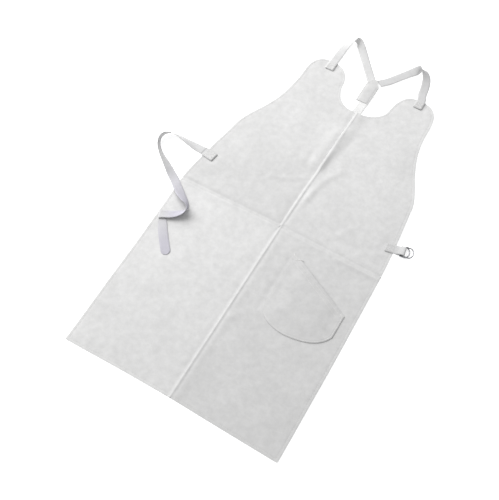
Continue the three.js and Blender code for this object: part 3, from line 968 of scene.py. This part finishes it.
def sewn_end_route(x, y, length, way, lower, upper):
    """A strap end folded under itself: it starts near the way out, runs in, turns up and comes back.
    way is the direction that the strap leaves in, and its edge on the left stays on one side."""
    bearing = math.degrees(math.atan2(way[1], way[0])) + 90
    half = length / 2
    stops = [(half - 2, lower), (0, lower), (-half + 2.5, lower), (-half + 0.3, (lower + upper) / 2),
             (-half + 2.5, upper), (0, upper), (half - 1, upper), (half + 3, upper)]
    return [(x + way[0] * s, y + way[1] * s, z, bearing, 0) for s, z in stops]


def box_stitch(x, y, width, length, angle=0.0):
    """Two squares of stitches with a cross in them, as lines in the plane."""
    corner = np.array([(-1, -1), (1, -1), (1, 1), (-1, 1)]) * (width / 2, length / 2)
    turn = np.array([[math.cos(angle), -math.sin(angle)], [math.sin(angle), math.cos(angle)]])
    corner = (turn @ corner.T).T + (x, y)
    inner_size = 0.8
    inner = (x, y) + inner_size * (corner - (x, y))
    squares = [line[[i, (i + 1) % 4]] for line in (corner, inner) for i in range(4)]
    return squares + [corner[[0, 2]], corner[[1, 3]]]


def sew_flat(name, lines, top, thread, size=(2.9, 1.1, 0.6)):
    """Sews lines of stitches on a level surface at the height top."""
    def height(x, y):
        return np.full(len(np.atleast_1d(x)), top)
    add_stitches(name, lines, height, thread, pitch=3.2, size=size)


def add_shoulder_strap(side, route, cloth, thread):
    low, high = node_box(f"{side}_shoulder_strap_end")
    x, y = (low[:2] + high[:2]) / 2
    ground = float(surface(x, y)[0])
    lower, upper = ground + 0.85, ground + 0.85 + WEBBING
    sewn = sewn_end_route(x, y, high[1] - low[1], (0, 1), lower, upper)
    strap = add_strap(f"{side}_shoulder_webbing", sewn[:-1] + route[1:], cloth, "strap_webbing")
    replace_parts(strap, f"{side}_shoulder_strap_end", f"{side}_shoulder_strap")
    sew_flat(f"{side}_shoulder_stitches", box_stitch(x, y, 18, 19), upper + SEWN_TOP, thread)


def add_belt_end(cloth, thread):
    x, y, angle = BELT_END["x"], BELT_END["y"], BELT_END["angle"]
    ground = float(surface(x, y)[0])
    lower, upper = ground + 0.8, ground + 0.8 + WEBBING
    route = sewn_end_route(x, y, BELT_END["length"], (-math.cos(angle), -math.sin(angle)), lower, upper)
    end = add_strap("belt_end_webbing", route, cloth, "strap_webbing", width=BELT_END["width"])
    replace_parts(end, "belt_end")
    sew_flat("belt_end_stitches", box_stitch(x, y, 24, 20, angle), upper + SEWN_TOP, thread)


add_shoulder_strap("left", LEFT_SHOULDER_ROUTE, webbing_material("pale_cloth", (0.63, 0.63, 0.63)), thread)
add_shoulder_strap("right", RIGHT_SHOULDER_ROUTE, strap_cloth, thread)
add_belt_end(strap_cloth, thread)


def add_yoke(hide, thread):
    """Two leather patches sewn together round the straps' ends."""
    low, high = node_box("yoke_front_patch")
    x = (low[0] + high[0]) / 2
    half, bottom, peak = (high[0] - low[0]) / 2, low[1], high[1]
    shoulder = peak - 22
    line = [(x - half, bottom), (x + half, bottom), (x + half, shoulder), (x + 5.5, peak), (x - 5.5, peak),
            (x - half, shoulder), (x - half, bottom)]
    outline = resample(line, 2.5)[:-1]
    sewn = 3.6
    rings = [0.6, 1.4, 2.6, sewn, 4.6, 6.5]

    def pressed(px, py, edge):
        """The patches meet beside the strap ends, and stay apart over them."""
        beside = smooth(10, 18.5, np.abs(px - x)) * smooth(shoulder + 4, shoulder - 10, py)
        return 1.1 * beside

    def front_bottom(px, py, edge):
        return low[2] - pressed(px, py, edge)

    def front_top(px, py, edge):
        dent = 0.3 * bell(sewn, 0.7, edge)
        return low[2] + LEATHER - pressed(px, py, edge) - rounded(edge) - dent

    def back_bottom(px, py, edge):
        return np.full(len(px), 0.02)

    def back_top(px, py, edge):
        return np.full(len(px), LEATHER - 0.02) - rounded(edge)

    front = leather_piece("yoke_front_leather", outline, front_bottom, front_top, hide, rings, 4)
    back = leather_piece("yoke_back_leather", outline, back_bottom, back_top, hide, rings, 4)
    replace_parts(front, "yoke_front_patch")
    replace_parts(back, "yoke_back_patch")

    def height(px, py):
        px, py = np.atleast_1d(px), np.atleast_1d(py)
        return front_top(px, py, np.full(len(px), sewn)) + 0.05
    lines = inset_lines(outline, sewn, lambda px, py: np.full(len(px), True))
    lines = [np.vstack([line, line[:1]]) for line in lines]
    lines.append(np.array([(x + 10, 541), (x + 19, 531)]))
    lines.append(np.array([(x - 10, 541), (x - 19, 531)]))
    lines.append(np.array([(x - 14, bottom + 12), (x + 14, bottom + 12)]))
    add_stitches("yoke_stitches", lines, height, thread, pitch=3.4, size=(2.7, 0.7, 0.5))


def add_back_strap(cloth):
    """It starts in the yoke, comes down to the floor and ends in a sewn loop under the bib."""
    def at(y, z):
        return (BACK_STRAP_X + BACK_STRAP_LEAN * (y - NECKLINE_Y), y, z, 0, 0)
    yoke_bottom = node_box("yoke_front_patch")[0][1]
    end = BACK_STRAP_END
    route = [at(yoke_bottom + 32, 2.25), at(yoke_bottom + 14, 2.25), at(yoke_bottom, 2.0),
             at(yoke_bottom - 8, 0.9), at(yoke_bottom - 20, 0.63), at(420, 0.63), at(360, 0.63),
             at(300, 0.63), at(end + 6, 0.63), at(end + 1.6, 0.8), at(end + 0.7, 1.45),
             at(end + 1.6, 2.0), at(end + 6, 2.15), at(end + 25, 2.1), at(end + 43, 1.9)]
    strap = add_strap("back_strap_webbing", route, cloth, "back_webbing",
                      width=BACK_STRAP_WIDTH, thickness=BACK_STRAP)
    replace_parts(strap, "back_strap", "belt_loop")


add_yoke(hide_material("yoke_hide", 0.565), thread)
add_back_strap(back_cloth)


# --- ring tab and D-rings ---
RING_HALF_WIDTH = 14.6
RING_ARM = 14
RING_BOW = 9.8
# How far along the tab and how high each ring's bar is, and how many degrees its bow dips.
RING_PLACES = {"lower": (12, 3.3, 4.1), "upper": (22, 6.8, 6.5)}


def from_tab(s, t, z):
    """A point given along and across the tab."""
    cos, sin = math.cos(TAB_ANGLE), math.sin(TAB_ANGLE)
    return TAB_FOLD[0] + s * cos - t * sin, TAB_FOLD[1] + s * sin + t * cos, z


def add_ring_tab(cloth, thread):
    """One length of webbing: sewn to the panel, out round both bars, and back over itself."""
    ground = float(surface(*from_tab(-15, 0, 0)[:2])[0])
    lower, upper = ground + 0.8, ground + 0.85 + WEBBING
    stops = [(-27, lower), (-14, lower), (-4, lower - 0.2), (1.5, 1.6), (6.5, 0.8), (14, 0.72), (20, 0.72),
             (23.4, 1.2), (24.7, 3.0), (24.75, 6.4), (24.1, 8.7), (21.6, 9.42), (18.4, 9.0),
             (12, 6.9), (6, 4.9), (0.5, 3.9), (-4, upper), (-14, upper), (-27.2, upper)]
    bearing = math.degrees(TAB_ANGLE) + 90
    route = [from_tab(s, 0, z) + (bearing, 0) for s, z in stops]
    vertices, faces, strap = strap_mesh(route, WEBBING_WIDTH, WEBBING * 0.93, spacing=1.2)
    tab = place("ring_tab_webbing", vertices, faces, cloth, body=None, strap=strap)
    start, end = from_tab(-2.2, 0, 3), from_tab(3.2, 0, 3)
    [c * MM for c in start]
    [c * MM for c in end]
    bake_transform(tab)
    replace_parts(tab, "ring_tab_end", "ring_tab_loop")
    x, y = from_tab(-15.2, 0, 0)[:2]
    tab_top = 0.68
    sew_flat("ring_tab_stitches", box_stitch(x, y, 18, 19, TAB_ANGLE), upper + tab_top, thread,
             size=(2.6, 0.75, 0.5))


def d_ring_line(half, straight, bow, corner=3.2):
    """A D's middle line in its own plane: the straight bar at x = 0, two arms and a bow."""
    line = [(0, y) for y in np.linspace(-half + corner, half - corner, 9)]
    turn = np.radians(np.arange(15, 90, 15))
    line += [(corner - corner * math.cos(a), half - corner + corner * math.sin(a)) for a in turn]
    line += [(x, half) for x in np.linspace(corner, straight, 5)]
    bend = np.radians(np.arange(84, -90, -6))
    line += [(straight + bow * math.cos(a), half * math.sin(a)) for a in bend]
    line += [(x, -half) for x in np.linspace(straight, corner, 5)]
    line += [(corner - corner * math.cos(a), -half + corner - corner * math.sin(a)) for a in turn[::-1]]
    return np.array(line)


def add_d_ring(node, body, bar_s, bar_z, tilt, chrome):
    line = d_ring_line(RING_HALF_WIDTH, RING_ARM, RING_BOW)
    way = np.roll(line, -1, axis=0) - np.roll(line, 1, axis=0)
    way /= np.linalg.norm(way, axis=1)[:, None]
    side = np.stack([way[:, 1], -way[:, 0]], 1)
    sides = 14
    points = []
    for k in range(sides):
        angle = math.tau * k / sides
        flat = line + side * (math.cos(angle) * WIRE / 2)
        up = np.full(len(line), math.sin(angle) * WIRE / 2)
        s = bar_s + flat[:, 0] * math.cos(tilt) + up * math.sin(tilt)
        z = bar_z - flat[:, 0] * math.sin(tilt) + up * math.cos(tilt)
        x, y, z = from_tab(s, flat[:, 1], z)
        points.append(np.stack([x, y, z], 1))
    count = len(line)
    vertices = np.stack(points, 1).reshape(-1, 3)
    faces = []
    for i in range(count):
        for k in range(sides):
            a, b = i * sides + k, i * sides + (k + 1) % sides
            c, d = ((i + 1) % count) * sides + (k + 1) % sides, ((i + 1) % count) * sides + k
            faces.append((a, b, c, d))
    ring = place(node + "_wire", vertices, faces, chrome, body)
    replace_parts(ring, node)


add_ring_tab(strap_cloth, thread)
chrome = chrome_material()
for level, (bar_s, bar_z, tilt) in RING_PLACES.items():
    add_d_ring(f"{level}_d_ring", f"{level}_ring", bar_s, bar_z, math.radians(tilt), chrome)


# --- floor and light ---
def add_floor():
    nodes = Nodes("pale_floor")
    where = nodes.place_on_object()
    colour = nodes.scaled((0.97, 0.97, 0.97), nodes.between(nodes.noise(where, 3, 2), 0.995, 1.0))
    nodes.finish(colour, nodes.between(nodes.noise(where, 6, 2), 0.9, 0.95),
                 nodes.bump(nodes.noise(where, 20, 2), 0.0001, 0.1), Specular_IOR_Level=0.0,
                 Emission_Color=(1, 1, 1, 1), Emission_Strength=0.48)
    mesh = bpy.data.meshes.new("floor")
    reach = 60.0
    mesh.from_pydata([(-reach, -reach, 0), (reach, -reach, 0), (reach, reach, 0), (-reach, reach, 0)], [],
                     [(0, 1, 2, 3)])
    floor = bpy.data.objects.new("floor", mesh)
    floor.location.z = -0.0004
    mesh.materials.append(nodes.material)
    bpy.context.scene.collection.objects.link(floor)


def add_lights():
    scene = bpy.context.scene
    scene.view_settings.view_transform = "Standard"
    world = bpy.data.worlds.new("studio")
    world.use_nodes = True
    world.node_tree.nodes["Background"].inputs["Color"].default_value = (0.995, 0.997, 1.0, 1)
    world.node_tree.nodes["Background"].inputs["Strength"].default_value = 0.60
    scene.world = world
    key = bpy.data.lights.new("key", "AREA")
    key.shape = "RECTANGLE"
    key.size = 3.2
    key.size_y = 2.6
    key.energy = 158
    key.color = (1.0, 0.998, 0.995)
    lamp = bpy.data.objects.new("key", key)
    lamp.location = (-2.52, 0.89, 1.94)
    aim = Vector((0.0, 0.0, 0.0)) - lamp.location
    lamp.rotation_euler = aim.to_track_quat("-Z", "Y").to_euler()
    scene.collection.objects.link(lamp)


add_floor()
add_lights()
